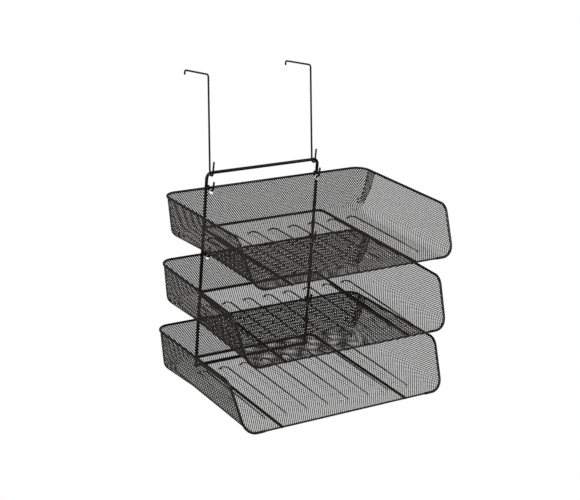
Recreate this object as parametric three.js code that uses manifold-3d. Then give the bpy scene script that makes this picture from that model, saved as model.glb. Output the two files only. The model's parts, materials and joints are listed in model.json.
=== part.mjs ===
// A hanging letter tray: three wide metal-mesh trays, one above the other, hang by wire hooks on a
// rod frame, and two wire hangers carry the frame over the top edge of a partition.
//
// Units are millimetres and +Z is up. X runs from left to right as seen from the front, the front
// faces -Y, and the frame's rods stand on the plane Y = 0, where the partition is. The origin is the
// middle of the bottom bar's rear side, which rests on the partition.

import * as THREE from 'three';
import { ConvexGeometry } from 'three/addons/geometries/ConvexGeometry.js';
import { mergeVertices } from 'three/addons/utils/BufferGeometryUtils.js';
import Module from 'manifold-3d';

const wasm = await Module();
wasm.setup();

// Driving dimensions. Heights are measured from the bottom bar's axis, and wires to their axes.
const GAP = 0.3;

const FRAME_ROD = 4.8;
const FRAME_HALF_WIDTH = 97.5;
const FRAME_HEIGHT = 295;
const FRAME_CORNER_RADIUS = 8;

const TRAY_NAMES = ['bottom', 'middle', 'top'];
const TRAY_TILTS_DEG = [1.3, 3.1, 0.6];
const FIRST_RIM_HEIGHT = 76;
const TRAY_PITCH = 100;
const RIM_BACK_Y = -11;

const RIM_WIRE = 3.2;
const RIM_HEIGHT_BACK = 57.5;
const RIM_HEIGHT_FRONT = 62.2;
const RIM_DEPTH = 204;
const RIM_HALF_WIDTH_FRONT = 176.3;
const FLOOR_DEPTH = 241;
const FLOOR_HALF_WIDTH_FRONT = 166;
const RIM_CORNER_RADIUS = 20;
const FRONT_TOP_RADIUS = 18;
const FRONT_BOTTOM_RADIUS = 20;

const SHEET = 0.8;
const SIDE_BOTTOM_RADIUS = 20;
const BACK_BOTTOM_REACH = 8;
const BACK_WALL_FLARE = 1.5;

const RIB_COUNT = 8;
const RIB_PITCH = 35;
const RIB_WIDTH = 14;
const RIB_HEIGHT = 2.8;
const RIB_FLANK = 1.75;
const RIB_BACK_Y = -49;
const RIB_FRONT_Y = -213;

const SEAM_TOP_Y = [-33, -17];
const SEAM_FOOT_Y = [-22, -15];
const SEAM_FOOT = 8;

const SUPPORT_WIRE = 4;
const SUPPORT_HALF_WIDTH = 105;
const SUPPORT_BACK_Y = 1;
const SUPPORT_CORNER_RADIUS = 8;

const HOOK_WIRE = 3.0;
const HOOK_DROP = 5.1;
const HOOK_LEG = 6;
const HOOK_LEG_RADIUS = 4;
const HOOK_TOE_RADIUS = 3.2;
const HOOK_TOE_GAP = 3.2;
const HOOK_TOE_RISE = 14.6;
const HOOK_TOE_LEAN = 2;

const EYELET_WIRE = 1.6;
const EYELET_RADIUS = 4;
const EYELET_DROP = 6.5;

const HANGER_WIRE = 3.2;
const HANGER_HALF_SPACING = 90;
const HANGER_LEAN_DEG = 8;
const HANGER_LEG = 143;
const HANGER_RUN = 68;
const HANGER_TIP = 7;
const HANGER_TOE = 17;
const HANGER_TOE_LEAN = 3.5;
const HANGER_BEND_RADIUS = 4;
const HANGER_BAR_GAP = 0.6;

// Counts of facets.
const WIRE_SIDES = 8;
const BEND_STEPS = 4;
const HOOK_TURN_STEPS = 8;
const CORNER_STEPS = 5;
const BOTTOM_STEPS = 5;
const EYELET_SEGMENTS = 16;
const EYELET_SIDES = 6;
const HOLE_SEGMENTS = 20;

// Sizes that follow from the driving dimensions.
const FRAME_Y = -FRAME_ROD / 2;
const BAR_Z = FRAME_HEIGHT;
const HOOK_X = FRAME_HALF_WIDTH - FRAME_ROD / 2 - GAP - HOOK_WIRE / 2;
const HOOK_LOCAL_Z = RIM_HEIGHT_BACK - HOOK_DROP;
const EYELET_LOCAL_Z = RIM_HEIGHT_BACK - EYELET_DROP;
const WALL_SLOPE = (RIM_HALF_WIDTH_FRONT - FLOOR_HALF_WIDTH_FRONT) / RIM_HEIGHT_FRONT;
const RIM_HALF_WIDTH_BACK = FLOOR_HALF_WIDTH_FRONT + WALL_SLOPE * RIM_HEIGHT_BACK;
const WALL_ANGLE = Math.PI / 2 - Math.atan(WALL_SLOPE);
const SHEET_EDGE = RIM_WIRE / 2 + GAP;
const BEYOND = 30;
const WELD_DISTANCE = 1e-4;

// Materials: black powder-coated rod and wire, black expanded-metal mesh and pale plated eyelets.
function coatedWire(name) {
  return new THREE.MeshStandardMaterial({ name, color: '#17181a', roughness: 0.38, metalness: 0.55 });
}

function meshSheet(name) {
  return new THREE.MeshStandardMaterial({ name, color: '#4a4745', roughness: 0.6, metalness: 0.5 });
}

function eyeletMetal(name) {
  return new THREE.MeshStandardMaterial({ name, color: '#bfbab5', roughness: 0.35, metalness: 0.3 });
}

// A curve through a list of points, which keeps every point exactly.
class PointPath extends THREE.Curve {
  constructor(points) {
    super();
    this.points = points;
  }

  getPoint(t, target = new THREE.Vector3()) {
    const last = this.points.length - 1;
    const place = t * last;
    const index = Math.min(Math.floor(place), last - 1);
    return target.lerpVectors(this.points[index], this.points[index + 1], place - index);
  }

  getPointAt(u, target) {
    return this.getPoint(u, target);
  }

  getTangentAt(u, target) {
    return this.getTangent(u, target);
  }
}

function point(x, y, z) {
  return new THREE.Vector3(x, y, z);
}

// The points of a bent wire: straight runs between corners, with a round bend at each inner corner.
function bentPoints(corners, radii, steps = BEND_STEPS) {
  const points = [corners[0]];
  for (let i = 1; i < corners.length - 1; i += 1) {
    const corner = corners[i];
    const radius = radii[i - 1];
    const back = corners[i - 1].clone().sub(corner).normalize();
    const ahead = corners[i + 1].clone().sub(corner).normalize();
    const half = back.angleTo(ahead) / 2;
    const start = corner.clone().addScaledVector(back, radius / Math.tan(half));
    const inward = back.clone().add(ahead).normalize();
    const centre = corner.clone().addScaledVector(inward, radius / Math.sin(half));
    const axis = new THREE.Vector3().crossVectors(ahead, back).normalize();
    const turn = Math.PI - 2 * half;
    for (let k = 0; k <= steps; k += 1) {
      const arm = start.clone().sub(centre).applyAxisAngle(axis, (turn * k) / steps);
      points.push(centre.clone().add(arm));
    }
  }
  points.push(corners[corners.length - 1]);
  return points;
}

// The cross-section of a rod: a regular polygon with flat sides facing along the axes.
function rodSection(diameter, sides = WIRE_SIDES) {
  const cornerRadius = diameter / 2 / Math.cos(Math.PI / sides);
  const corners = [];
  for (let i = 0; i < sides; i += 1) {
    const angle = ((i + 0.5) * 2 * Math.PI) / sides;
    corners.push(new THREE.Vector2(cornerRadius * Math.cos(angle), cornerRadius * Math.sin(angle)));
  }
  return new THREE.Shape(corners);
}

function rodAlong(points, diameter) {
  const extrudePath = new PointPath(points);
  return new THREE.ExtrudeGeometry(rodSection(diameter), { steps: points.length - 1, extrudePath });
}

function bentRod(corners, radii, diameter, steps = BEND_STEPS) {
  return rodAlong(bentPoints(corners, radii, steps), diameter);
}

// Solids for joining and cutting.
function solidOf(geometry) {
  const bare = geometry.clone();
  bare.deleteAttribute('normal');
  bare.deleteAttribute('uv');
  const merged = mergeVertices(bare, WELD_DISTANCE);
  const vertProperties = new Float32Array(merged.attributes.position.array);
  const triVerts = new Uint32Array(merged.index.array);
  return new wasm.Manifold(new wasm.Mesh({ numProp: 3, vertProperties, triVerts }));
}

function geometryOf(solid) {
  const mesh = solid.getMesh();
  const geometry = new THREE.BufferGeometry();
  const positions = new Float32Array(mesh.vertProperties);
  geometry.setAttribute('position', new THREE.BufferAttribute(positions, 3));
  geometry.setIndex(new THREE.BufferAttribute(new Uint32Array(mesh.triVerts), 1));
  geometry.computeVertexNormals();
  return geometry;
}

// A box between two opposite corners.
function boxBetween(low, high) {
  const size = high.clone().sub(low);
  const middle = low.clone().add(high).multiplyScalar(0.5);
  return new THREE.BoxGeometry(size.x, size.y, size.z).translate(middle.x, middle.y, middle.z);
}

// The tray's sheet lies on a pan-shaped surface: a flat floor that curves up into sloping side walls
// and a steep back wall. A level of the pan is its half width, back edge and height.
function panLevel(angle, offset) {
  const floorTangent = SIDE_BOTTOM_RADIUS * Math.tan(WALL_ANGLE / 2);
  const rise = Math.sin(angle) / Math.sin(WALL_ANGLE);
  const backFoot = -BACK_WALL_FLARE - BACK_BOTTOM_REACH;
  return {
    halfWidth: FLOOR_HALF_WIDTH_FRONT - floorTangent + (SIDE_BOTTOM_RADIUS + offset) * Math.sin(angle),
    backY: backFoot + (BACK_BOTTOM_REACH + offset) * rise,
    z: SIDE_BOTTOM_RADIUS - (SIDE_BOTTOM_RADIUS + offset) * Math.cos(angle),
  };
}

function panLevels(offset) {
  const levels = [];
  for (let i = 0; i <= BOTTOM_STEPS; i += 1) {
    levels.push(panLevel((WALL_ANGLE * i) / BOTTOM_STEPS, offset));
  }
  const curveTop = levels[levels.length - 1];
  const height = RIM_HEIGHT_FRONT + BEYOND - curveTop.z;
  levels.push({
    halfWidth: curveTop.halfWidth + WALL_SLOPE * height,
    backY: curveTop.backY + (BACK_WALL_FLARE * height) / (RIM_HEIGHT_BACK - SIDE_BOTTOM_RADIUS),
    z: curveTop.z + height,
  });
  return levels;
}

// The outline of one level, with round back corners, open towards the front.
function panOutline({ halfWidth, backY, z }) {
  const points = [];
  const frontY = -FLOOR_DEPTH - BEYOND;
  for (const side of [-1, 1]) {
    points.push(point(side * halfWidth, frontY, z));
    for (let i = 0; i <= CORNER_STEPS; i += 1) {
      const angle = (Math.PI / 2) * (i / CORNER_STEPS);
      const x = halfWidth - RIM_CORNER_RADIUS * (1 - Math.cos(angle));
      const y = backY - RIM_CORNER_RADIUS * (1 - Math.sin(angle));
      points.push(point(side * x, y, z));
    }
  }
  return points;
}

// The pan grown outwards by an offset, as one convex solid.
function panSolid(offset) {
  return solidOf(new ConvexGeometry(panLevels(offset).flatMap(panOutline)));
}

// The side view of the sheet, held clear of the rim wire along its top and its sloping front edge.
function sideProfile() {
  const floorFront = new THREE.Vector2(-FLOOR_DEPTH, 0);
  const rimFront = new THREE.Vector2(-RIM_DEPTH, RIM_HEIGHT_FRONT);
  const rimBack = new THREE.Vector2(0, RIM_HEIGHT_BACK);
  const up = rimFront.clone().sub(floorFront).normalize();
  const back = rimBack.clone().sub(rimFront).normalize();
  const half = Math.acos(-up.dot(back)) / 2;
  const inward = back.clone().sub(up).normalize();
  const corner = rimFront.clone().addScaledVector(inward, SHEET_EDGE / Math.sin(half));
  const radius = FRONT_TOP_RADIUS - SHEET_EDGE;
  const centre = corner.clone().addScaledVector(inward, radius / Math.sin(half));
  const tangent = radius / Math.tan(half);
  const arcStart = corner.clone().addScaledVector(up, -tangent);
  const firstAngle = Math.atan2(arcStart.y - centre.y, arcStart.x - centre.x);
  const turn = Math.PI - 2 * half;
  const outline = [corner.clone().addScaledVector(up, -(RIM_HEIGHT_FRONT + BEYOND) / up.y)];
  for (let i = 0; i <= CORNER_STEPS; i += 1) {
    const angle = firstAngle - (turn * i) / CORNER_STEPS;
    const arm = new THREE.Vector2(Math.cos(angle), Math.sin(angle)).multiplyScalar(radius);
    outline.push(arm.add(centre));
  }
  outline.push(corner.clone().addScaledVector(back, (BEYOND - corner.x) / back.x));
  outline.push(new THREE.Vector2(BEYOND, outline[0].y));
  return new THREE.Shape(outline);
}

// A side view drawn in Y and Z, as a solid right across the tray.
function acrossSolid(sideView) {
  const depth = 2 * (RIM_HALF_WIDTH_FRONT + BEYOND);
  const geometry = new THREE.ExtrudeGeometry(sideView, { depth, bevelEnabled: false });
  geometry.translate(0, 0, -depth / 2);
  geometry.applyMatrix4(new THREE.Matrix4().makeBasis(point(0, 1, 0), point(0, 0, 1), point(1, 0, 0)));
  return solidOf(geometry);
}

// One rib pressed up out of the floor: a long pad with sloping flanks and rounded ends.
function ribLevel(x, halfWidth, z) {
  const points = [];
  const flank = RIB_WIDTH / 2 - halfWidth;
  const endRadius = halfWidth;
  for (let i = 0; i <= BEND_STEPS; i += 1) {
    const angle = (Math.PI * i) / BEND_STEPS;
    const along = endRadius * Math.sin(angle);
    const across = endRadius * Math.cos(angle);
    points.push(point(x + across, RIB_BACK_Y - flank - endRadius + along, z));
    points.push(point(x + across, RIB_FRONT_Y + flank + endRadius - along, z));
  }
  return points;
}

function ribSolid(x, topZ, offset, footZ) {
  const half = RIB_WIDTH / 2 + offset;
  const foot = ribLevel(x, half, footZ);
  const top = ribLevel(x, half - RIB_FLANK, topZ);
  return solidOf(new ConvexGeometry([...foot, ...top]));
}

function eyeletHole(side) {
  const radius = EYELET_RADIUS + EYELET_WIRE / 2 + GAP;
  const geometry = new THREE.CylinderGeometry(radius, radius, BEYOND, HOLE_SEGMENTS);
  return solidOf(geometry.translate(side * HOOK_X, 0, EYELET_LOCAL_Z));
}

function trayShell() {
  let shell = panSolid(SHEET / 2).subtract(panSolid(-SHEET / 2));
  shell = shell.intersect(acrossSolid(sideProfile()));
  for (let i = 0; i < RIB_COUNT; i += 1) {
    const x = (i - (RIB_COUNT - 1) / 2) * RIB_PITCH;
    shell = shell.add(ribSolid(x, RIB_HEIGHT + SHEET / 2, 0, -SHEET / 4));
    shell = shell.subtract(ribSolid(x, RIB_HEIGHT - SHEET / 2, -SHEET, -SHEET));
  }
  for (const side of [-1, 1]) {
    shell = shell.subtract(eyeletHole(side));
  }
  return geometryOf(shell);
}

// The side view of the lap seam, which leans back towards its foot.
function seamProfile() {
  const corners = [];
  for (const end of [0, 1]) {
    corners.push(new THREE.Vector2(SEAM_FOOT_Y[end], SEAM_FOOT));
    corners.push(new THREE.Vector2(SEAM_TOP_Y[end], RIM_HEIGHT_BACK));
  }
  const [frontFoot, frontTop, backFoot, backTop] = corners;
  return new THREE.Shape([frontFoot, backFoot, backTop, frontTop]);
}

// The strip where the ends of the sheet lap over each other, on the outside of the right wall.
function seamStrip() {
  const inner = SHEET / 2 + GAP;
  const band = panSolid(inner + SHEET).subtract(panSolid(inner));
  const low = point(FLOOR_HALF_WIDTH_FRONT - BEYOND, -FLOOR_DEPTH, 0);
  const high = point(RIM_HALF_WIDTH_FRONT + BEYOND, BEYOND, RIM_HEIGHT_FRONT);
  const rightWall = band.intersect(solidOf(boxBetween(low, high)));
  const strip = rightWall.intersect(acrossSolid(seamProfile())).intersect(acrossSolid(sideProfile()));
  return geometryOf(strip);
}

// The rim: one closed wire round the back, the side walls, and the sloping front edges, with its
// butt joint in the middle of the back.
function rimWire() {
  const rightHalf = [
    point(RIM_HALF_WIDTH_BACK, 0, RIM_HEIGHT_BACK),
    point(RIM_HALF_WIDTH_FRONT, -RIM_DEPTH, RIM_HEIGHT_FRONT),
    point(FLOOR_HALF_WIDTH_FRONT, -FLOOR_DEPTH, 0),
  ];
  const leftHalf = rightHalf.map((p) => point(-p.x, p.y, p.z)).reverse();
  const start = point(GAP / 2, 0, RIM_HEIGHT_BACK);
  const end = point(-GAP / 2, 0, RIM_HEIGHT_BACK);
  const radii = [RIM_CORNER_RADIUS, FRONT_TOP_RADIUS, FRONT_BOTTOM_RADIUS];
  const allRadii = [...radii, ...radii.slice().reverse()];
  return bentRod([start, ...rightHalf, ...leftHalf, end], allRadii, RIM_WIRE);
}

// The U-shaped wire that carries the floor from below, along the back and forward on both sides.
function supportWire() {
  const z = -SHEET / 2 - GAP - SUPPORT_WIRE / 2;
  const frontY = -FLOOR_DEPTH + RIM_WIRE / 2 + GAP * 2;
  const corners = [
    point(-SUPPORT_HALF_WIDTH, frontY, z),
    point(-SUPPORT_HALF_WIDTH, SUPPORT_BACK_Y, z),
    point(SUPPORT_HALF_WIDTH, SUPPORT_BACK_Y, z),
    point(SUPPORT_HALF_WIDTH, frontY, z),
  ];
  return bentRod(corners, [SUPPORT_CORNER_RADIUS, SUPPORT_CORNER_RADIUS], SUPPORT_WIRE);
}

// A round wire eyelet set in a hole of the back wall.
function eyelet() {
  const profile = [];
  for (let i = 0; i <= EYELET_SIDES; i += 1) {
    const angle = (2 * Math.PI * i) / EYELET_SIDES;
    const radius = EYELET_RADIUS + (EYELET_WIRE / 2) * Math.cos(angle);
    profile.push(new THREE.Vector2(radius, (EYELET_WIRE / 2) * Math.sin(angle)));
  }
  profile[EYELET_SIDES].copy(profile[0]);
  return new THREE.LatheGeometry(profile, EYELET_SEGMENTS);
}

// A tray hook in its own frame: its short leg comes down beside the upright at y = 0, turns forward
// through the eyelet at z = 0, and turns up in front of the rim.
function trayHook() {
  const toeY = RIM_BACK_Y - FRAME_Y - HOOK_TOE_GAP;
  const corners = [
    point(0, 0, HOOK_LEG),
    point(0, 0, 0),
    point(0, toeY, 0),
    point(0, toeY - HOOK_TOE_LEAN, HOOK_TOE_RISE),
  ];
  return bentRod(corners, [HOOK_LEG_RADIUS, HOOK_TOE_RADIUS], HOOK_WIRE);
}

// The frame: one rod bent into an upside-down U, and a straight bar between its lower ends.
function frameRod() {
  const footZ = -FRAME_ROD / 2;
  const corners = [
    point(-FRAME_HALF_WIDTH, FRAME_Y, footZ),
    point(-FRAME_HALF_WIDTH, FRAME_Y, BAR_Z),
    point(FRAME_HALF_WIDTH, FRAME_Y, BAR_Z),
    point(FRAME_HALF_WIDTH, FRAME_Y, footZ),
  ];
  return bentRod(corners, [FRAME_CORNER_RADIUS, FRAME_CORNER_RADIUS], FRAME_ROD);
}

function bottomBar() {
  const end = FRAME_HALF_WIDTH - FRAME_ROD / 2 - GAP;
  return rodAlong([point(-end, FRAME_Y, 0), point(end, FRAME_Y, 0)], FRAME_ROD);
}

// A hanger in its own frame, with the top bar's axis through the origin: the rear tip, the run over
// the partition, the leg, and the hook that passes under the bar and turns up in front of it.
function hanger() {
  const reach = FRAME_ROD / 2 + HANGER_BAR_GAP + HANGER_WIRE / 2;
  const corners = [
    point(0, reach + HANGER_RUN, HANGER_LEG - HANGER_TIP),
    point(0, reach + HANGER_RUN, HANGER_LEG),
    point(0, reach, HANGER_LEG),
    point(0, reach, 0),
  ];
  const points = bentPoints(corners, [HANGER_BEND_RADIUS, HANGER_BEND_RADIUS]);
  for (let i = 1; i <= HOOK_TURN_STEPS; i += 1) {
    const angle = (Math.PI * i) / HOOK_TURN_STEPS;
    points.push(point(0, reach * Math.cos(angle), -reach * Math.sin(angle)));
  }
  points.push(point(0, -reach - HANGER_TOE_LEAN, HANGER_TOE));
  return rodAlong(points, HANGER_WIRE);
}

// Assembly.
function addPiece(parent, name, geometry, material) {
  const mesh = new THREE.Mesh(geometry, material(name));
  mesh.name = name;
  parent.add(mesh);
  return mesh;
}

function buildTray(name, tiltDeg, rimHeight) {
  const tray = new THREE.Group();
  const pivot = new THREE.Group();
  pivot.position.set(0, RIM_BACK_Y, rimHeight - HOOK_DROP);
  pivot.rotation.x = THREE.MathUtils.degToRad(tiltDeg);
  tray.position.set(0, 0, -HOOK_LOCAL_Z);
  pivot.add(tray);
  addPiece(tray, `${name}_tray_shell`, trayShell(), meshSheet);
  addPiece(tray, `${name}_tray_seam`, seamStrip(), meshSheet);
  addPiece(tray, `${name}_tray_rim_wire`, rimWire(), coatedWire);
  addPiece(tray, `${name}_tray_support_wire`, supportWire(), coatedWire);
  for (const [side, label] of [[-1, 'left'], [1, 'right']]) {
    const ring = addPiece(tray, `${name}_tray_eyelet_${label}`, eyelet(), eyeletMetal);
    ring.position.set(side * HOOK_X, 0, EYELET_LOCAL_Z);
  }
  return pivot;
}

function buildFrame() {
  const frame = new THREE.Group();
  addPiece(frame, 'frame_rod', frameRod(), coatedWire);
  addPiece(frame, 'frame_bottom_bar', bottomBar(), coatedWire);
  TRAY_NAMES.forEach((name, index) => {
    for (const [side, label] of [[-1, 'left'], [1, 'right']]) {
      const hook = addPiece(frame, `${name}_hook_${label}`, trayHook(), coatedWire);
      const hookZ = FIRST_RIM_HEIGHT + index * TRAY_PITCH - HOOK_DROP;
      hook.position.set(side * HOOK_X, FRAME_Y, hookZ);
    }
  });
  return frame;
}

function buildHanger(name, side) {
  const piece = new THREE.Group();
  addPiece(piece, name, hanger(), coatedWire);
  piece.position.set(side * HANGER_HALF_SPACING, FRAME_Y, BAR_Z);
  piece.rotation.x = -THREE.MathUtils.degToRad(HANGER_LEAN_DEG);
  return piece;
}

const group = new THREE.Group();
group.add(buildFrame());
TRAY_NAMES.forEach((name, index) => {
  group.add(buildTray(name, TRAY_TILTS_DEG[index], FIRST_RIM_HEIGHT + index * TRAY_PITCH));
});
group.add(buildHanger('hanger_left', -1));
group.add(buildHanger('hanger_right', 1));

export default group;
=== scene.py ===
"""Looks of a hanging letter tray: expanded-metal mesh trays on coated wire, hung on a rod frame.

Sizes below are in millimetres, as in the CAD part, and every mesh is made in metres in the CAD frame:
X to the right seen from the front, the front faces -Y, +Z up. A tray's own frame has its origin in
the middle of its back at floor height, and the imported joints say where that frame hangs.
"""

import json
import math

import bpy
import numpy as np
from mathutils import Matrix, Vector


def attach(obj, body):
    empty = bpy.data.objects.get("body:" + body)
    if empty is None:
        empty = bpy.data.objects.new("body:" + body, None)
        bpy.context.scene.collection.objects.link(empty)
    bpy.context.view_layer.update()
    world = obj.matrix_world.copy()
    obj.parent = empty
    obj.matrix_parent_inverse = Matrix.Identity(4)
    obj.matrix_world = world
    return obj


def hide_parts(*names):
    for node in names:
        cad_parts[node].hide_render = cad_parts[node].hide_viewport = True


MM = 0.001

# Frame, hooks and hangers.
FRAME_ROD = 4.8
FRAME_HALF_WIDTH = 97.5
FRAME_CORNER_RADIUS = 8.0
BAR_END_OVERLAP = 0.4
BAR_WELD_SIZE = (1.3, 2.4, 2.4)
BAR_WELD_INSET = 0.2
HOOK_WIRE = 3.0
HOOK_LEG = 6.0
HOOK_LEG_RADIUS = 4.0
HOOK_TOE_RADIUS = 3.2
HOOK_TOE_GAP = 3.4
HOOK_TOE_RISE = 14.6
HOOK_TOE_LEAN = 2.0
HOOK_GAP = 0.3
HOOK_WELD_SIZE = (0.9, 1.0, 1.6)
HOOK_WELD_DROP = 1.8
HANGER_WIRE = 2.8
HANGER_LEAN_DEG = 8.0
HANGER_LEG = 143.0
HANGER_RUN = 68.0
HANGER_TIP = 7.0
HANGER_TOE = 17.0
HANGER_TOE_LEAN = 3.5
HANGER_BEND_RADIUS = 4.0
HANGER_BAR_GAP = 0.6

# Trays.
TRAY_TILTS_DEG = {"bottom": 1.3, "middle": 3.1, "top": 0.6}
RIM_BACK_Y = -11.0
HOOK_DROP = 5.1
RIM_WIRE = 2.4
RIM_HEIGHT_BACK = 57.5
RIM_HEIGHT_FRONT = 62.2
RIM_DEPTH = 204.0
RIM_HALF_WIDTH_FRONT = 176.3
FLOOR_DEPTH = 241.0
FLOOR_HALF_WIDTH_FRONT = 166.0
CORNER_RADIUS = 20.0
FRONT_TOP_RADIUS = 18.0
FRONT_BOTTOM_RADIUS = 20.0
SIDE_BOTTOM_RADIUS = 20.0
REAR_BOTTOM_RADIUS = 8.0
REAR_BEND_Y = (-90.0, -25.0)
BACK_BOTTOM_REACH = 8.0
BACK_WALL_FLARE = 1.5
SUPPORT_WIRE = 4.0
SUPPORT_HALF_WIDTH = 105.0
SUPPORT_BACK_Y = 1.0
SUPPORT_CORNER_RADIUS = 8.0
SUPPORT_DROP = 2.7
SUPPORT_FRONT_Y = -237.0
EYELET_WIRE = 1.6
EYELET_RADIUS = 4.0
EYELET_DROP = 6.5

# The pressed ribs of the floor.
RIB_COUNT = 8
RIB_PITCH = 35.0
RIB_HEIGHT = 2.8
RIB_BACK_Y = -49.0
RIB_FRONT_Y = -213.0
RIB_FADE_Y = -150.0
RIB_FRONT_SHARE = 0.35

# The expanded metal: diamonds with their long way running front to back.
DIAMOND_LONG = 4.5
DIAMONDS_PER_RIB_PITCH = 10
DIAMOND_SHORT = RIB_PITCH / DIAMONDS_PER_RIB_PITCH
STRAND_WIDTH = 1.17
BACK_STRAND_WIDTH = 1.4
SEAM_SCALE = 0.5
SEAM_STRAND_WIDTH = 0.48
STRAND_THICKNESS = 0.55
FLANK_THICKENING = 2.0
FLANK_SLACK = 0.1
GRID_MARGIN = 2
HEM_WIDTH = 3.6
HEM_RETURN = 30.0

# A rib's flat top reaches three half diamonds to each side, and its flanks are one half diamond wide.
RIB_PAD = 1.5 * DIAMOND_SHORT
RIB_FLANK = 0.5 * DIAMOND_SHORT

# The lap seam on the right wall: its front and rear edges at three heights, its hem and its curl.
SEAM_HEIGHTS = (8.0, 32.0, 57.0)
SEAM_FRONT_Y = (-22.0, -31.0, -33.0)
SEAM_REAR_Y = (-15.0, -17.0, -17.0)
SEAM_OFFSET = 0.8
SEAM_HEM = 1.2
SEAM_CURL = 2.8
SEAM_CURL_WIRE = 2.2
SEAM_CURL_TURN = 1.1 * math.pi

# Sizes that follow.
WALL_SLOPE = (RIM_HALF_WIDTH_FRONT - FLOOR_HALF_WIDTH_FRONT) / RIM_HEIGHT_FRONT
WALL_ANGLE = math.pi / 2 - math.atan(WALL_SLOPE)
RIM_HALF_WIDTH_BACK = FLOOR_HALF_WIDTH_FRONT + WALL_SLOPE * RIM_HEIGHT_BACK
FLAT_HALF_WIDTH = FLOOR_HALF_WIDTH_FRONT - SIDE_BOTTOM_RADIUS * math.tan(WALL_ANGLE / 2)
FLOOR_BACK_Y = -BACK_WALL_FLARE - BACK_BOTTOM_REACH
FRONT_LEAN = (FLOOR_DEPTH - RIM_DEPTH) / RIM_HEIGHT_FRONT
HOOK_X = FRAME_HALF_WIDTH - FRAME_ROD / 2 - HOOK_GAP - HOOK_WIRE / 2
FRAME_Y = -FRAME_ROD / 2

# The sheet is worked out to a little above the rim, and closed wires are split at the middle.
SPARE_HEIGHT = 20.0
SPLIT_GAP = 0.3

# How finely round shapes are divided.
TUBE_SIDES = 20
THIN_TUBE_SIDES = 8
BEND_STEPS = 12
BEND_LEVELS = 24
HOOK_TURN_STEPS = 16
SEAM_CURL_STEPS = 8
SEAM_STEPS = 12
FRONT_EDGE_STEPS = 16
CORNER_STEPS = 12
BACK_EDGE_STEPS = 24
RING_STEPS = 40
RING_SIDES = 14
BLOB_ROWS = 6
BLOB_COLUMNS = 10

# How much of a wire's radius its end is rounded over.
CUT_END = 0.35
SOFT_END = 0.5
SHARP_END = 0.15

# Lengths below TINY count as nothing, directions whose cosine is above NEARLY_ALONG as the same, and
# the sheet's slope is measured over NORMAL_STEP either way.
TINY = 1e-6
NEARLY_ALONG = 0.9
NORMAL_STEP = 0.05

# Steel surfaces: the scale of the noise that drives each effect, and how strong the effect is.
PATCH_SCALE = 24
PATCH_DETAIL = 3
PATCH_RANGE = (0.35, 0.65)
PATCH_SHADES = (0.75, 1.3)
SHEEN_SCALE = 160
SHEEN_RANGE = (0.3, 0.7)
SHEEN_SHIFTS = (-0.06, 0.08)
FINE_DETAIL = 2
PEEL_DEPTH = 0.0001

# Studio, in metres and radians: the floor, the white surround, the lights' aim and the view. The
# lens is in millimetres, and the view keeps its shift within VIEW_SLACK of its home.
FLOOR_REACH = 30.0
FLOOR_DROP = 0.9
FLOOR_GREY = 0.6
WORLD_LIGHT = 0.3
LIGHTS_AIM = (0, -0.1, 0.2)
VIEW_HOME = Vector((-1.3349, -1.9964, 1.031))
VIEW_YAW = 0.5879
VIEW_PITCH = -0.1622
VIEW_ROLL = 0.0634
VIEW_LENS = 104.12
VIEW_SHIFTS = (("shift_x", 0.0265), ("shift_y", -0.5387))
VIEW_SLACK = 0.001


# ---------------------------------------------------------------- meshes

def make_mesh(name, points, faces):
    """A smooth mesh object from points in millimetres and a list of faces."""
    mesh = bpy.data.meshes.new(name)
    mesh.from_pydata((np.asarray(points) * MM).tolist(), [], [list(f) for f in faces])
    mesh.polygons.foreach_set("use_smooth", [True] * len(mesh.polygons))
    mesh.update()
    piece = bpy.data.objects.new(name, mesh)
    bpy.context.scene.collection.objects.link(piece)
    return piece


def merged(parts):
    """Several (points, faces) pairs as one."""
    points, faces, count = [], [], 0
    for part_points, part_faces in parts:
        points.append(np.asarray(part_points, float))
        faces.extend([[index + count for index in face] for face in part_faces])
        count += len(part_points)
    return np.concatenate(points), faces


def unit(v):
    """A vector's direction."""
    return v / np.linalg.norm(v)


def bent_path(corners, radii):
    """The points of a bent wire: straight runs with a round bend at each inner corner."""
    corners = [np.array(c, float) for c in corners]
    path = [corners[0]]
    for i, radius in enumerate(radii, start=1):
        corner = corners[i]
        back = unit(corners[i - 1] - corner)
        ahead = unit(corners[i + 1] - corner)
        half = math.acos(np.clip(back @ ahead, -1, 1)) / 2
        centre = corner + unit(back + ahead) * radius / math.sin(half)
        start = corner + back * radius / math.tan(half)
        arm = start - centre
        across = unit(np.cross(np.cross(arm, -back), arm)) * radius
        for k in range(BEND_STEPS + 1):
            angle = (math.pi - 2 * half) * k / BEND_STEPS
            path.append(centre + arm * math.cos(angle) + across * math.sin(angle))
    path.append(corners[-1])
    return path


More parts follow.
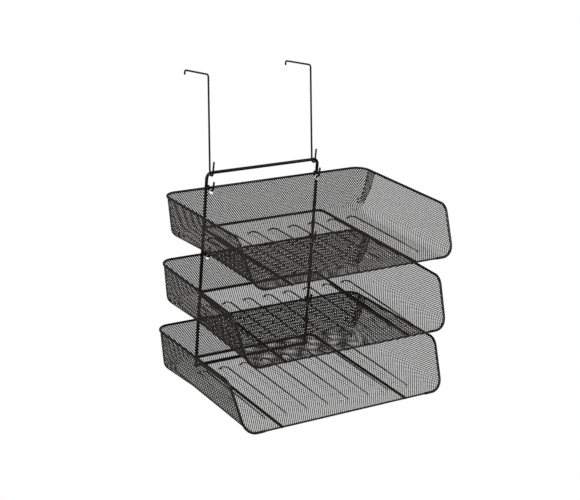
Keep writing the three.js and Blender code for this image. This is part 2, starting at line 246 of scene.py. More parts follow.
def tube(path, diameter, sides=TUBE_SIDES, round_end=CUT_END):
    """Points and faces of a round wire along a path, with its end edges rounded over."""
    radius = diameter / 2
    path = [np.array(p, float) for p in path]
    path = [p for i, p in enumerate(path) if i == 0 or np.linalg.norm(p - path[i - 1]) > TINY]
    tangents = [unit(path[min(i + 1, len(path) - 1)] - path[max(i - 1, 0)]) for i in range(len(path))]
    side = np.array([0.0, 0.0, 1.0] if abs(tangents[0][0]) > NEARLY_ALONG else [1.0, 0.0, 0.0])
    rings = []
    for i, (place, tangent) in enumerate(zip(path, tangents)):
        side = unit(side - tangent * (side @ tangent))
        up = np.cross(tangent, side)
        ring = []
        reach = radius
        if 0 < i < len(path) - 1:
            ahead, behind = unit(path[i + 1] - place), unit(place - path[i - 1])
            half_bend = math.acos(np.clip(ahead @ behind, -1, 1)) / 2
            reach = radius / math.sqrt(math.cos(half_bend))
        for k in range(sides):
            angle = 2 * math.pi * k / sides
            ring.append(place + (side * math.cos(angle) + up * math.sin(angle)) * reach)
        rings.append(np.array(ring))
    rounded = []
    for end, ring, tangent in ((0, rings[0], -tangents[0]), (-1, rings[-1], tangents[-1])):
        centre = path[end]
        steps = []
        for angle in (0.0, math.pi / 4, math.pi / 2):
            inset = radius * round_end * (1 - math.cos(angle))
            back = radius * round_end * (1 - math.sin(angle))
            steps.append(centre + (ring - centre) * (1 - inset / radius) - tangent * back)
        rounded.append(steps)
    rings = rounded[0][::-1] + rings[1:-1] + rounded[1]
    points = np.concatenate(rings)
    faces = []
    for i in range(len(rings) - 1):
        for k in range(sides):
            a, b = i * sides + k, i * sides + (k + 1) % sides
            faces.append([a, b, b + sides, a + sides])
    faces.append(list(range(sides))[::-1])
    last = (len(rings) - 1) * sides
    faces.append([last + k for k in range(sides)])
    return points, faces


def torus(centre, radius, wire):
    """A ring of wire whose axis is +Y."""
    points, faces = [], []
    for i in range(RING_STEPS):
        a = 2 * math.pi * i / RING_STEPS
        for k in range(RING_SIDES):
            b = 2 * math.pi * k / RING_SIDES
            reach = radius + wire / 2 * math.cos(b)
            points.append([reach * math.cos(a), wire / 2 * math.sin(b), reach * math.sin(a)])
    for i in range(RING_STEPS):
        for k in range(RING_SIDES):
            a, b = i * RING_SIDES, ((i + 1) % RING_STEPS) * RING_SIDES
            n = (k + 1) % RING_SIDES
            faces.append([a + k, a + n, b + n, b + k])
    return np.array(points) + np.array(centre), faces


def blob(centre, size):
    """A small rounded lump, such as a weld."""
    rows, columns = BLOB_ROWS, BLOB_COLUMNS
    points = [[0, 0, -1]]
    for i in range(1, rows):
        a = math.pi * i / rows
        for k in range(columns):
            b = 2 * math.pi * k / columns
            points.append([math.sin(a) * math.cos(b), math.sin(a) * math.sin(b), -math.cos(a)])
    points.append([0, 0, 1])
    faces = [[0, 1 + (k + 1) % columns, 1 + k] for k in range(columns)]
    for i in range(rows - 2):
        for k in range(columns):
            a, b = 1 + i * columns + k, 1 + i * columns + (k + 1) % columns
            faces.append([a, b, b + columns, a + columns])
    last, row = len(points) - 1, 1 + (rows - 2) * columns
    faces += [[row + k, row + (k + 1) % columns, last] for k in range(columns)]
    return np.array(points) * np.array(size) + np.array(centre), faces


# ---------------------------------------------------------------- the tray's pan-shaped surface

def run_along(across, up):
    """How far along the sheet each level is."""
    return np.append(0, np.cumsum(np.hypot(np.diff(across), np.diff(up))))


def bend_profile(radius):
    """Half width and height at even steps through the bend from the floor's flat part to the side wall.
    A radius less than the full one leaves a longer flat and wall on either side of a tighter bend."""
    angle = np.linspace(0, WALL_ANGLE, BEND_LEVELS)
    spare = (SIDE_BOTTOM_RADIUS - radius) * math.tan(WALL_ANGLE / 2)
    across = np.append(0, spare + radius * np.sin(angle))
    up = np.append(0, radius * (1 - np.cos(angle)))
    across = np.append(across, across[-1] + spare * math.cos(WALL_ANGLE))
    up = np.append(up, up[-1] + spare * math.sin(WALL_ANGLE))
    run = run_along(across, up)
    even = np.linspace(0, run[-1], BEND_LEVELS)
    return FLAT_HALF_WIDTH + np.interp(even, run, across), np.interp(even, run, up)


def pan_levels(radius):
    """Half width, back edge and height of the pan at each level, from the floor to above the rim."""
    half, height = bend_profile(radius)
    reach = (half - half[0]) / (half[-1] - half[0])
    back = FLOOR_BACK_Y + BACK_BOTTOM_REACH * reach
    rise = RIM_HEIGHT_FRONT + SPARE_HEIGHT - height[-1]
    half = np.append(half, half[-1] + WALL_SLOPE * rise)
    back = np.append(back, back[-1] + BACK_WALL_FLARE * rise / (RIM_HEIGHT_BACK - SIDE_BOTTOM_RADIUS))
    height = np.append(height, height[-1] + rise)
    return half, back, height


# The levels at the front, and at the back, where the bend is tighter.
FRONT_HALF, _, FRONT_HEIGHT = pan_levels(SIDE_BOTTOM_RADIUS)
HALF, BACK, HEIGHT = pan_levels(REAR_BOTTOM_RADIUS)
SIDE_RUN = run_along(FRONT_HALF, FRONT_HEIGHT)
BACK_RUN = run_along(BACK, HEIGHT)


def rim_height(y):
    """How high the rim's middle is above the floor."""
    return RIM_HEIGHT_BACK - (RIM_HEIGHT_FRONT - RIM_HEIGHT_BACK) * y / RIM_DEPTH


def beyond_rib(x, y):
    """How far each place on the floor lies outside the flat top of the nearest rib."""
    nearest = np.round(x / RIB_PITCH - 0.5) + 0.5
    nearest = np.clip(nearest, -(RIB_COUNT - 1) / 2, (RIB_COUNT - 1) / 2)
    across = x - nearest * RIB_PITCH
    beyond_back = y - (RIB_BACK_Y - RIB_PAD - RIB_FLANK)
    beyond_front = (RIB_FRONT_Y + RIB_PAD + RIB_FLANK) - y
    along = np.maximum(np.maximum(beyond_back, beyond_front), 0)
    return np.hypot(across, along) - RIB_PAD


def rib_strength(y):
    """The ribs are pressed less deep towards the front."""
    return np.interp(y, [RIB_FRONT_Y, RIB_FADE_Y], [RIB_FRONT_SHARE, 1])


def rib_height(x, y):
    """How far the pressed ribs lift the floor."""
    return RIB_HEIGHT * rib_strength(y) * np.clip(1 - beyond_rib(x, y) / RIB_FLANK, 0, 1)


def flank_share(flat):
    """1 on the flanks of the ribs, where pressing has upset the strands, and 0 elsewhere."""
    y = flat[:, 1] + FLOOR_BACK_Y
    beyond = beyond_rib(flat[:, 0], y)
    slack = FLANK_SLACK * RIB_FLANK
    return rib_strength(y) * ((beyond > -slack) & (beyond < RIB_FLANK + slack))


def on_floor(flat):
    """Places on the floor and side walls: flat holds (s, t), s across from the middle and t back from
    the floor's rear edge."""
    s, t = flat[:, 0], flat[:, 1]
    reach = np.abs(s)
    beyond = np.maximum(reach - FLAT_HALF_WIDTH, 0)
    y = t + FLOOR_BACK_Y
    share = np.interp(y, REAR_BEND_Y, (0, 1))

    def between(rear, front):
        rear, front = (np.interp(beyond, SIDE_RUN, level) for level in (rear, front))
        return share * rear + (1 - share) * front

    x = np.where(reach > FLAT_HALF_WIDTH, between(HALF, FRONT_HALF), reach)
    z = between(HEIGHT, FRONT_HEIGHT) + rib_height(s, y)
    return np.stack([np.sign(s) * x, y, z], 1)


def on_back(flat):
    """Places on the back wall, which wraps round both corners: flat holds (s, t), s along the wall from
    the middle and t up from the floor's rear edge."""
    s, t = flat[:, 0], flat[:, 1]
    reach = np.abs(s)
    half, back, height = (np.interp(t, BACK_RUN, level) for level in (HALF, BACK, HEIGHT))
    straight = half - CORNER_RADIUS
    turn = np.maximum((reach - straight) / CORNER_RADIUS, 0)
    past = np.maximum(turn - math.pi / 2, 0) * CORNER_RADIUS
    turn = np.minimum(turn, math.pi / 2)
    x = np.where(reach < straight, reach, straight + CORNER_RADIUS * np.sin(turn))
    y = back - CORNER_RADIUS * (1 - np.cos(turn)) - past
    return np.stack([np.sign(s) * x, y, height], 1)


def sheet_normals(flat, place):
    """The sheet's inward normals, from small steps along it."""
    step = NORMAL_STEP
    along_s = place(flat + [step, 0]) - place(flat - [step, 0])
    along_t = place(flat + [0, step]) - place(flat - [0, step])
    # Past its last level the back wall counts as upright.
    along_t[:, 2] = np.where(np.hypot(along_t[:, 1], along_t[:, 2]) < TINY, step, along_t[:, 2])
    cross = np.cross(along_s, along_t)
    return cross / np.maximum(np.linalg.norm(cross, axis=1), TINY ** 2)[:, None]


# ---------------------------------------------------------------- outlines of the flat sheet

def side_outline():
    """The right half of the floor with the right wall, flat on the sheet, as a closed outline. Its
    straight edges on the middle line and along the floor's rear reach past the cells there."""
    front_foot, rim_front = np.array([-FLOOR_DEPTH, 0.0]), np.array([-RIM_DEPTH, RIM_HEIGHT_FRONT])
    rim_back = np.array([0.0, RIM_HEIGHT_BACK])
    corner_turn = rim_corner_arc(front_foot, rim_front, rim_back)
    rising = np.linspace(0, corner_turn[0][1], FRONT_EDGE_STEPS)
    profile = [[FRONT_LEAN * z - FLOOR_DEPTH, z] for z in rising]
    profile += [list(p) for p in corner_turn[1:]]
    rim_z = rim_height(-CORNER_RADIUS)
    profile.append([-CORNER_RADIUS, rim_z])
    outline = [[-DIAMOND_SHORT, -FLOOR_DEPTH - FLOOR_BACK_Y]]
    for y, z in profile:
        outline.append([FLAT_HALF_WIDTH + np.interp(z, FRONT_HEIGHT, SIDE_RUN), y - FLOOR_BACK_Y])
    for run, back in zip(SIDE_RUN[-2::-1], BACK[-2::-1]):
        outline.append([FLAT_HALF_WIDTH + run, back - CORNER_RADIUS - FLOOR_BACK_Y])
    for angle in np.linspace(0, math.pi / 2, CORNER_STEPS):
        s = FLAT_HALF_WIDTH - CORNER_RADIUS * (1 - math.cos(angle))
        outline.append([s, -CORNER_RADIUS * (1 - math.sin(angle))])
    outline.append([FLAT_HALF_WIDTH - CORNER_RADIUS, DIAMOND_LONG])
    outline.append([-DIAMOND_SHORT, DIAMOND_LONG])
    return np.array(outline)


def rim_corner_arc(foot, corner, back):
    """The round bend of the rim at the top of the sloping front edge, in side view (y, z)."""
    path = bent_path([[*foot, 0], [*corner, 0], [*back, 0]], [FRONT_TOP_RADIUS])
    return [p[:2] for p in path[1:-1]]


def back_outline():
    """The back wall with both corners, flat on the sheet. Its lower edge reaches past the cells that
    end there."""
    quarter = CORNER_RADIUS * math.pi / 2
    top = np.interp(rim_height(0), HEIGHT, BACK_RUN)
    right = []
    for t in np.linspace(0, top, BACK_EDGE_STEPS):
        right.append([np.interp(t, BACK_RUN, HALF) - CORNER_RADIUS + quarter, t])
    outline = [[right[0][0], -DIAMOND_LONG]] + right
    outline += [[-s, t] for s, t in reversed(outline)]
    return np.array(outline)


def inside_outline(points, outline):
    """Which points lie inside a closed outline."""
    x, y = points[:, 0], points[:, 1]
    inside = np.zeros(len(points), bool)
    for (x0, y0), (x1, y1) in zip(outline, np.roll(outline, -1, axis=0)):
        if y0 == y1:
            continue
        crosses = (y0 > y) != (y1 > y)
        inside ^= crosses & (x < (x1 - x0) * (y - y0) / (y1 - y0) + x0)
    return inside


def fit_to_outline(points, outline, holes=()):
    """Moves the points that lie outside the outline, or in a round hole, to the nearest edge."""
    fitted = points.copy()
    outside = np.flatnonzero(~inside_outline(points, outline))
    best = np.full(len(outside), np.inf)
    for start, end in zip(outline, np.roll(outline, -1, axis=0)):
        run = end - start
        length_squared = run @ run
        if length_squared < TINY ** 2:
            continue
        share = np.clip((points[outside] - start) @ run / length_squared, 0, 1)
        near = start + share[:, None] * run
        distance = np.linalg.norm(points[outside] - near, axis=1)
        closer = distance < best
        best[closer] = distance[closer]
        fitted[outside[closer]] = near[closer]
    for centre, radius in holes:
        away = fitted - centre
        distance = np.linalg.norm(away, axis=1)
        swallowed = distance < radius
        scale = radius / np.maximum(distance[swallowed], TINY)
        fitted[swallowed] = centre + away[swallowed] * scale[:, None]
    return fitted


# ---------------------------------------------------------------- expanded metal

KNOT_POINTS = 6
EAST, NORTH, WEST, SOUTH, TOP, UNDER = range(KNOT_POINTS)


def knot_grid(outline, step):
    """The net's knots over an outline, on every second place of a grid of half diamonds: the places
    of the knots, and a grid with the number of each knot and -1 between them."""
    first = np.floor(outline.min(0) / step).astype(int) - GRID_MARGIN
    last = np.ceil(outline.max(0) / step).astype(int) + GRID_MARGIN
    columns, rows = (np.arange(first[axis], last[axis] + 1) for axis in (0, 1))
    i, j = np.meshgrid(columns, rows, indexing="ij")
    here = (i + j) % 2 == 0
    index = np.full(i.shape, -1)
    index[here] = np.arange(here.sum())
    return np.stack([i[here], j[here]], 1) * step, index


def diamond_net(place, outline, keeps, holes=(), short=DIAMOND_SHORT, long=DIAMOND_LONG,
                width=STRAND_WIDTH, lift=0.0, stout=None):
    """Points and faces of a net of strands that fills an outline of the flat sheet. Each knot has four
    corners in the sheet and a point on either side of it, and each strand joins two knots. keeps says
    which strands to make, from the middles of the strands, and stout how much the knots are upset."""
    flat, index = knot_grid(outline, np.array([short / 2, long / 2]))
    solid = inside_outline(flat, outline)
    for centre, radius in holes:
        solid &= np.linalg.norm(flat - centre, axis=1) > radius

    def strands(starts, ends):
        starts, ends = starts.ravel(), ends.ravel()
        real = (starts >= 0) & (ends >= 0)
        starts, ends = starts[real], ends[real]
        kept = (solid[starts] | solid[ends]) & keeps((flat[starts] + flat[ends]) / 2)
        return starts[kept], ends[kept]

    # Strands that rise to the right run from a to b, and those that rise to the left from c to d.
    a, b = strands(index[:-1, :-1], index[1:, 1:])
    c, d = strands(index[1:, :-1], index[:-1, 1:])
    run = np.array([short, long]) / math.hypot(short, long)
    tip = width / 2 / run[1], width / 2 / run[0]
    shifts = np.array([[tip[0], 0], [0, tip[1]], [-tip[0], 0], [0, -tip[1]], [0, 0], [0, 0]])
    upset = np.zeros(len(flat)) if stout is None else stout(flat)
    spread = fit_to_outline((flat[:, None, :] + shifts).reshape(-1, 2), outline, holes)
    half_thickness = STRAND_THICKNESS / 2 * (1 + FLANK_THICKENING * upset)
    lifts = (half_thickness[:, None] * [0, 0, 0, 0, 1, -1]).ravel() + lift

    def quads(first_knot, second_knot, corners):
        ends = [KNOT_POINTS * (first_knot, second_knot)[knot] + corner for knot, corner in corners]
        return np.stack(ends, 1)

    faces = []
    for face, turned in ((TOP, 1), (UNDER, -1)):
        faces.append(quads(a, b, [(0, face), (0, EAST), (1, SOUTH), (1, face)][::turned]))
        faces.append(quads(a, b, [(0, NORTH), (0, face), (1, face), (1, WEST)][::turned]))
        faces.append(quads(c, d, [(0, face), (0, NORTH), (1, EAST), (1, face)][::turned]))
        faces.append(quads(c, d, [(0, WEST), (0, face), (1, face), (1, SOUTH)][::turned]))
    faces.append(end_caps(len(flat), a, b, c, d))
    faces = np.concatenate(faces)
    used = np.unique(faces)
    renumber = np.full(KNOT_POINTS * len(flat), -1)
    renumber[used] = np.arange(len(used))
    spread, lifts = spread[used], lifts[used]
    points = place(spread) + sheet_normals(spread, place) * lifts[:, None]
    return points, renumber[faces]


def end_caps(knots, a, b, c, d):
    """The faces that close the net where a knot lacks some of its four strands."""
    present = np.zeros((knots, 4), bool)
    present[a, 0] = present[c, 1] = present[b, 2] = present[d, 3] = True
    before = [EAST, NORTH, WEST, SOUTH]
    caps = []
    for start in range(4):
        for length in (1, 2, 3):
            missing = [(start + k) % 4 for k in range(length)]
            around = [(start - 1) % 4, (start + length) % 4]
            ends = present[:, around].all(1) & ~present[:, missing].any(1)
            knot = KNOT_POINTS * np.flatnonzero(ends)
            corners = (TOP, before[start], UNDER, before[(start + length) % 4])
            caps.append(np.stack([knot + corner for corner in corners], 1))
    return np.concatenate(caps)


def mirrored(part):
    """The other side's part: mirrored in X, with its faces turned to point out again."""
    points, faces = part
    return np.asarray(points) * [-1, 1, 1], [face[::-1] for face in faces]


def rolled_edge():
    """The right half of the sheet's upper edge, rolled round the rim wire from the middle of the back
    to just past the front bottom corner."""
    corners = [(0.5 * SPLIT_GAP, 0, RIM_HEIGHT_BACK),
               (RIM_HALF_WIDTH_BACK, 0, RIM_HEIGHT_BACK),
               (RIM_HALF_WIDTH_FRONT, -RIM_DEPTH, RIM_HEIGHT_FRONT),
               (FLOOR_HALF_WIDTH_FRONT, -FLOOR_DEPTH, 0),
               (FLOOR_HALF_WIDTH_FRONT - HEM_RETURN, -FLOOR_DEPTH, 0)]
    return tube(bent_path(corners, [CORNER_RADIUS, FRONT_TOP_RADIUS, FRONT_BOTTOM_RADIUS]), HEM_WIDTH)


# ---------------------------------------------------------------- materials

def coated(name, colour, roughness, peel_strength, peel_scale, specular):
    """Coated or plated steel with a fine orange-peel surface and an uneven sheen."""
    material = bpy.data.materials.new(name)
    material.use_nodes = True
    nodes, links = material.node_tree.nodes, material.node_tree.links
    shader = nodes["Principled BSDF"]
    place = nodes.new("ShaderNodeTexCoord")

    def noise(scale, detail):
        node = nodes.new("ShaderNodeTexNoise")
        node.inputs["Scale"].default_value = scale
        node.inputs["Detail"].default_value = detail
        links.new(place.outputs["Object"], node.inputs["Vector"])
        return node.outputs["Fac"]

    def ramp(value, stops):
        node = nodes.new("ShaderNodeValToRGB")
        links.new(value, node.inputs["Fac"])
        for element, (position, shade) in zip(node.color_ramp.elements, stops):
            element.position = position
            element.color = (*shade, 1)
        return node.outputs["Color"]

    shades = [[share * c for c in colour] for share in PATCH_SHADES]
    patches = ramp(noise(PATCH_SCALE, PATCH_DETAIL), zip(PATCH_RANGE, shades))
    links.new(patches, shader.inputs["Base Color"])
    sheens = [[roughness + shift] * 3 for shift in SHEEN_SHIFTS]
    sheen = ramp(noise(SHEEN_SCALE, FINE_DETAIL), zip(SHEEN_RANGE, sheens))
    links.new(sheen, shader.inputs["Roughness"])
    peel = nodes.new("ShaderNodeBump")
    peel.inputs["Strength"].default_value = peel_strength
    peel.inputs["Distance"].default_value = PEEL_DEPTH
    links.new(noise(peel_scale, FINE_DETAIL), peel.inputs["Height"])
    links.new(peel.outputs["Normal"], shader.inputs["Normal"])
    shader.inputs["Specular IOR Level"].default_value = specular
    return material


# ---------------------------------------------------------------- pieces

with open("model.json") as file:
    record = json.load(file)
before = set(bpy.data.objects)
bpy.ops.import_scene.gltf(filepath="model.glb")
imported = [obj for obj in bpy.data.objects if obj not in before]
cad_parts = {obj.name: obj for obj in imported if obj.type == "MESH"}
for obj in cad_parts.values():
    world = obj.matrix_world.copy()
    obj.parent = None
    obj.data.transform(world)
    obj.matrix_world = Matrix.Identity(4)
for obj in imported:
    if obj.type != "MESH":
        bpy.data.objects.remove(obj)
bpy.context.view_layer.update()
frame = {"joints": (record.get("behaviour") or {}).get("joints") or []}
joints = {joint["name"]: joint for joint in frame["joints"]}
wire_finish = coated("black_wire_coat", (0.004, 0.004, 0.0045), roughness=0.3,
                     peel_strength=0.25, peel_scale=900, specular=0.3)
mesh_finish = coated("black_mesh_coat", (0.017, 0.0145, 0.0125), roughness=0.45,
                     peel_strength=0.2, peel_scale=1400, specular=0.3)
eyelet_finish = coated("pale_eyelet_metal", (0.76, 0.735, 0.72), roughness=0.35,
                       peel_strength=0.1, peel_scale=1400, specular=0.6)


def add(name, part, body, finish, replaced):
    """Makes a piece, puts it on its body and lets it stand for a CAD node."""
    piece = make_mesh(name, *part)
    piece.data.materials.append(finish)
    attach(piece, body)
    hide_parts(replaced)


def moved(part, turn_deg, shift):
    """A part turned about the X axis and then shifted."""
    points, faces = part
    turn = np.array(Matrix.Rotation(math.radians(turn_deg), 3, "X"))
    return np.asarray(points) @ turn.T + np.array(shift, float), faces


def build_frame():
    """The bent rod and the bottom bar, which is welded between its feet."""
    top_z = joints["left_hanger_swing"]["pos_m"][2] / MM
    foot = -FRAME_ROD / 2
    corners = [(-FRAME_HALF_WIDTH, FRAME_Y, foot), (-FRAME_HALF_WIDTH, FRAME_Y, top_z),
               (FRAME_HALF_WIDTH, FRAME_Y, top_z), (FRAME_HALF_WIDTH, FRAME_Y, foot)]
    rod = tube(bent_path(corners, [FRAME_CORNER_RADIUS] * 2), FRAME_ROD)
    add("frame_round_rod", rod, "frame", wire_finish, "frame_rod")
    reach = FRAME_HALF_WIDTH - FRAME_ROD / 2 + BAR_END_OVERLAP
    bar = [tube([(-reach, FRAME_Y, 0), (reach, FRAME_Y, 0)], FRAME_ROD)]
    for side in (-1, 1):
        bar.append(blob((side * (reach - BAR_WELD_INSET), FRAME_Y, 0), BAR_WELD_SIZE))
    add("frame_round_bottom_bar", merged(bar), "frame", wire_finish, "frame_bottom_bar")


def tray_hook():
    """A tray hook about its own bend: a leg on the upright, a run through the eyelet and a toe."""
    toe_y = RIM_BACK_Y - FRAME_Y - HOOK_TOE_GAP
    corners = [(0, 0, HOOK_LEG), (0, 0, 0), (0, toe_y, 0), (0, toe_y - HOOK_TOE_LEAN, HOOK_TOE_RISE)]
    return tube(bent_path(corners, [HOOK_LEG_RADIUS, HOOK_TOE_RADIUS]), HOOK_WIRE, round_end=SOFT_END)


def build_hooks():
    """Two hooks for each tray, welded to the inner sides of the uprights."""
    for name in TRAY_TILTS_DEG:
        pivot_z = joints[f"{name}_tray_tilt"]["pos_m"][2] / MM
        for side, label in ((-1, "left"), (1, "right")):
            weld_x = side * (HOOK_WIRE / 2 + HOOK_GAP / 2)
            weld = blob((weld_x, 0, HOOK_LEG - HOOK_WELD_DROP), HOOK_WELD_SIZE)
            part = moved(merged([tray_hook(), weld]), 0, (side * HOOK_X, FRAME_Y, pivot_z))
            add(f"{name}_round_hook_{label}", part, "frame", wire_finish,
                f"{name}_hook_{label}")


def build_hangers():
    """Two wires, each with a rear tip, a run over the partition, a leg and a hook round the bar."""
    reach = FRAME_ROD / 2 + HANGER_BAR_GAP + HANGER_WIRE / 2
    corners = [(0, reach + HANGER_RUN, HANGER_LEG - HANGER_TIP), (0, reach + HANGER_RUN, HANGER_LEG),
               (0, reach, HANGER_LEG), (0, reach, 0)]
    path = bent_path(corners, [HANGER_BEND_RADIUS] * 2)
    for k in range(1, HOOK_TURN_STEPS + 1):
        angle = math.pi * k / HOOK_TURN_STEPS
        path.append(np.array([0, reach * math.cos(angle), -reach * math.sin(angle)]))
    path.append(np.array([0, -reach - HANGER_TOE_LEAN, HANGER_TOE]))
    for label in ("left", "right"):
        place = np.array(joints[f"{label}_hanger_swing"]["pos_m"]) / MM
        part = moved(tube(path, HANGER_WIRE, round_end=SOFT_END), -HANGER_LEAN_DEG, place)
        add(f"{label}_round_hanger", part, f"{label}_hanger", wire_finish,
            f"hanger_{label}")


def rim_wire():
    """The wire round the whole sheet: along the back and the sides, down the sloping front edges and
    across the floor's front."""
    right = [(RIM_HALF_WIDTH_BACK, 0, RIM_HEIGHT_BACK),
             (RIM_HALF_WIDTH_FRONT, -RIM_DEPTH, RIM_HEIGHT_FRONT),
             (FLOOR_HALF_WIDTH_FRONT, -FLOOR_DEPTH, 0)]
    left = [(-x, y, z) for x, y, z in reversed(right)]
    radii = [CORNER_RADIUS, FRONT_TOP_RADIUS, FRONT_BOTTOM_RADIUS]
    end = 0.5 * SPLIT_GAP
    path = bent_path([(end, 0, RIM_HEIGHT_BACK), *right, *left, (-end, 0, RIM_HEIGHT_BACK)],
                     radii + radii[::-1])
    return tube(path, RIM_WIRE, round_end=SHARP_END)


def support_wire():
    """The U-shaped wire below the floor, open to the front."""
    z = -SUPPORT_DROP
    corners = [(-SUPPORT_HALF_WIDTH, SUPPORT_FRONT_Y, z), (-SUPPORT_HALF_WIDTH, SUPPORT_BACK_Y, z),
               (SUPPORT_HALF_WIDTH, SUPPORT_BACK_Y, z), (SUPPORT_HALF_WIDTH, SUPPORT_FRONT_Y, z)]
    return tube(bent_path(corners, [SUPPORT_CORNER_RADIUS] * 2), SUPPORT_WIRE)


def seam_outline():
    """The lap seam's height, front edge and rear edge at each step from its foot to the rim."""
    heights = np.linspace(SEAM_HEIGHTS[0], rim_height(-CORNER_RADIUS), SEAM_STEPS)
    front = np.interp(heights, SEAM_HEIGHTS, SEAM_FRONT_Y)
    rear = np.interp(heights, SEAM_HEIGHTS, SEAM_REAR_Y)
    return list(zip(heights, front, rear))


def floor_sheet():
    """The right half of the floor with the right wall. The left half mirrors it."""
    def on_right_half(middles):
        return (middles[:, 0] > 0) & (middles[:, 1] < 0)

    return diamond_net(on_floor, side_outline(), on_right_half, stout=flank_share)


def back_sheet():
    """The back wall with both corners and the holes of its two eyelets."""
    height = np.interp(RIM_HEIGHT_BACK - EYELET_DROP, HEIGHT, BACK_RUN)
    holes = [(np.array([side * HOOK_X, height]), EYELET_RADIUS) for side in (-1, 1)]

    def above_floor(middles):
        return middles[:, 1] > 0

    return diamond_net(on_back, back_outline(), above_floor, holes, width=BACK_STRAND_WIDTH)


def along_back(z, y):
    """How far along the back wall's sheet, round its corner, the place of height z and depth y is."""
    straight = np.interp(z, HEIGHT, HALF) - CORNER_RADIUS
    drop = np.interp(z, HEIGHT, BACK) - y
    if drop >= CORNER_RADIUS:
        return straight + CORNER_RADIUS * math.pi / 2 + drop - CORNER_RADIUS
    return straight + CORNER_RADIUS * math.acos(1 - drop / CORNER_RADIUS)


def seam_curl(foot, away):
    """The end of the seam's hem, which runs on past its foot and curls back."""
    curl = []
    for k in range(SEAM_CURL_STEPS + 1):
        angle = SEAM_CURL_TURN * k / SEAM_CURL_STEPS
        sideways = np.array([0, SEAM_CURL * (1 - math.cos(angle)), 0])
        curl.append(foot + away * SEAM_CURL * math.sin(angle) + sideways)
    curl.append(curl[-1] - away * SEAM_CURL)
    return tube(curl, SEAM_CURL_WIRE, THIN_TUBE_SIDES)


def seam_strip():
    """The lap of the back wall's sheet over the right wall: a second layer outside the sheet, between
    two hemmed edges that lean back towards its foot, with the rear hem's end curled at the foot."""
    edge = seam_outline()
    runs = [np.interp(z, HEIGHT, BACK_RUN) for z, _, _ in edge]
    front = [[along_back(z, y), t] for (z, y, _), t in zip(edge, runs)]
    rear = [[along_back(z, y), t] for (z, _, y), t in zip(edge, runs)]
    outline = np.array(rear + front[::-1])

    def on_right_wall(middles):
        return middles[:, 0] > 0

    net = diamond_net(on_back, outline, on_right_wall, short=SEAM_SCALE * DIAMOND_SHORT,
                      long=SEAM_SCALE * DIAMOND_LONG, width=SEAM_STRAND_WIDTH, lift=-SEAM_OFFSET)
    parts = [net]
    for line in (front, rear):
        flat = np.array(line)
        path = on_back(flat) - sheet_normals(flat, on_back) * SEAM_OFFSET
        parts.append(tube(path, SEAM_HEM, THIN_TUBE_SIDES))
    parts.append(seam_curl(path[0], unit(path[0] - path[1])))
    return merged(parts)


RIGHT_SHEET = floor_sheet()
BACK_SHEET = back_sheet()
SEAM = seam_strip()
EDGE = rolled_edge()


def build_tray(name, tilt):
    """One tray's pieces, hung from its hooks at its resting tilt."""
    pivot = np.array(joints[f"{name}_tray_tilt"]["pos_m"]) / MM
    hook_z = RIM_HEIGHT_BACK - HOOK_DROP

    def placed(part):
        points, faces = part
        return moved((np.asarray(points) - [0, 0, hook_z], faces), tilt, pivot)

    def tray_piece(suffix, part, finish, node):
        add(f"{name}_tray_{suffix}", placed(part), f"{name}_tray", finish, f"{name}_tray_{node}")

    tray_piece("mesh_right", RIGHT_SHEET, mesh_finish, "shell")
    tray_piece("mesh_left", mirrored(RIGHT_SHEET), mesh_finish, "shell")
    tray_piece("mesh_back", BACK_SHEET, mesh_finish, "shell")
    edge = merged([EDGE, mirrored(EDGE)])
    tray_piece("rolled_edge", edge, wire_finish, "shell")
    tray_piece("lap_seam", SEAM, mesh_finish, "seam")
    tray_piece("round_rim_wire", rim_wire(), wire_finish, "rim_wire")
    tray_piece("round_support_wire", support_wire(), wire_finish, "support_wire")
    for side, label in ((-1, "left"), (1, "right")):
        ring = torus((side * HOOK_X, 0, RIM_HEIGHT_BACK - EYELET_DROP), EYELET_RADIUS, EYELET_WIRE)
        tray_piece(f"round_eyelet_{label}", ring, eyelet_finish, f"eyelet_{label}")


def build_stage():
    """A plain floor well below the object: pale grey where it reflects light, white to the camera."""
    signs = ((-1, -1), (1, -1), (1, 1), (-1, 1))
    corners = [(x * FLOOR_REACH, y * FLOOR_REACH, -FLOOR_DROP) for x, y in signs]
    mesh = bpy.data.meshes.new("floor")
    mesh.from_pydata(corners, [], [(0, 1, 2, 3)])
    floor = bpy.data.objects.new("floor", mesh)
    bpy.context.scene.collection.objects.link(floor)
    paper = bpy.data.materials.new("pale_floor")
    paper.use_nodes = True
    nodes, links = paper.node_tree.nodes, paper.node_tree.links
    shader = nodes["Principled BSDF"]
    shader.inputs["Base Color"].default_value = (FLOOR_GREY, FLOOR_GREY, FLOOR_GREY, 1)
    shader.inputs["Roughness"].default_value = 0.9
    shader.inputs["Specular IOR Level"].default_value = 0.0
    glow = nodes.new("ShaderNodeEmission")
    glow.inputs["Strength"].default_value = 1.0
    seen = nodes.new("ShaderNodeLightPath")
    mix = nodes.new("ShaderNodeMixShader")
    links.new(seen.outputs["Is Camera Ray"], mix.inputs["Fac"])
    links.new(shader.outputs["BSDF"], mix.inputs[1])
    links.new(glow.outputs["Emission"], mix.inputs[2])
    links.new(mix.outputs["Shader"], nodes["Material Output"].inputs["Surface"])
    mesh.materials.append(paper)


def area_light(name, place, size, power):
    """A soft round light aimed at the object."""
    data = bpy.data.lights.new(name, "AREA")
    data.shape = "DISK"
    data.size = size
    data.energy = power
    light = bpy.data.objects.new(name, data)
    light.location = place
    aim = Vector(LIGHTS_AIM) - Vector(place)
    light.rotation_euler = aim.to_track_quat("-Z", "Y").to_euler()
    bpy.context.scene.collection.objects.link(light)


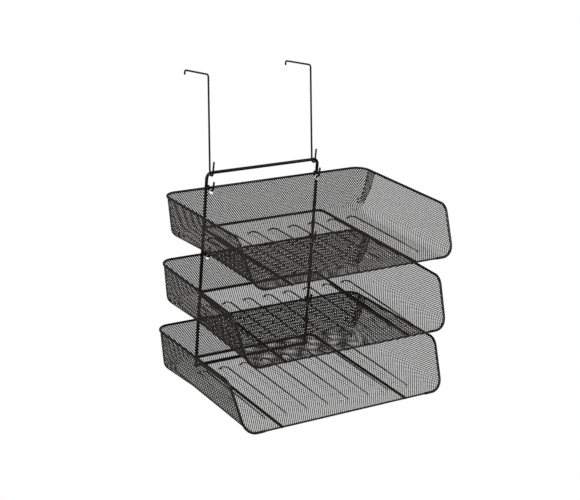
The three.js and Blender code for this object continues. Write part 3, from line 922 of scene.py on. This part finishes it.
def build_lights():
    """A white surround that lights the object softly, with three soft lights."""
    world = bpy.data.worlds.new("studio")
    bpy.context.scene.world = world
    world.use_nodes = True
    nodes, links = world.node_tree.nodes, world.node_tree.links
    background = nodes["Background"]
    background.inputs["Color"].default_value = (1, 1, 1, 1)
    seen = nodes.new("ShaderNodeLightPath")
    strength = nodes.new("ShaderNodeMapRange")
    strength.inputs["To Min"].default_value = WORLD_LIGHT
    strength.inputs["To Max"].default_value = 1.0
    links.new(seen.outputs["Is Camera Ray"], strength.inputs["Value"])
    links.new(strength.outputs["Result"], background.inputs["Strength"])
    area_light("key", (-1.2, -1.4, 2.2), size=1.2, power=45)
    area_light("fill", (1.8, -1.2, 1.2), size=1.5, power=12)
    area_light("side", (-2.2, -0.2, 0.7), size=1.5, power=18)


def build_camera():
    """The view: from the front left, a little above, with the lens shifted as in a view camera. The
    shift belongs to this place only, so it drops out when the camera is moved."""
    flat = math.cos(VIEW_PITCH)
    ahead = Vector((math.sin(VIEW_YAW) * flat, math.cos(VIEW_YAW) * flat, math.sin(VIEW_PITCH)))
    level = Vector((math.cos(VIEW_YAW), -math.sin(VIEW_YAW), 0))
    upward = level.cross(ahead)
    right = level * math.cos(VIEW_ROLL) + upward * math.sin(VIEW_ROLL)
    top = upward * math.cos(VIEW_ROLL) - level * math.sin(VIEW_ROLL)
    data = bpy.data.cameras.new("view")
    data.lens = VIEW_LENS
    data.sensor_width = 36.0
    data.clip_start, data.clip_end = 0.05, 200
    camera = bpy.data.objects.new("view", data)
    axes = Matrix((right, top, -ahead)).transposed()
    camera.matrix_world = Matrix.Translation(VIEW_HOME) @ axes.to_4x4()
    bpy.context.scene.collection.objects.link(camera)
    bpy.context.scene.camera = camera
    for channel, amount in VIEW_SHIFTS:
        driver = data.driver_add(channel).driver
        driver.type = "SCRIPTED"
        variable = driver.variables.new()
        variable.name = "x"
        variable.type = "TRANSFORMS"
        variable.targets[0].id = camera
        variable.targets[0].transform_type = "LOC_X"
        driver.expression = f"{amount} if abs(x - {VIEW_HOME.x:.6f}) < {VIEW_SLACK} else 0"
    bpy.context.scene.view_settings.view_transform = "Standard"


build_frame()
build_hooks()
build_hangers()
for tray_name, tray_tilt in TRAY_TILTS_DEG.items():
    build_tray(tray_name, tray_tilt)
build_stage()
build_lights()
build_camera()
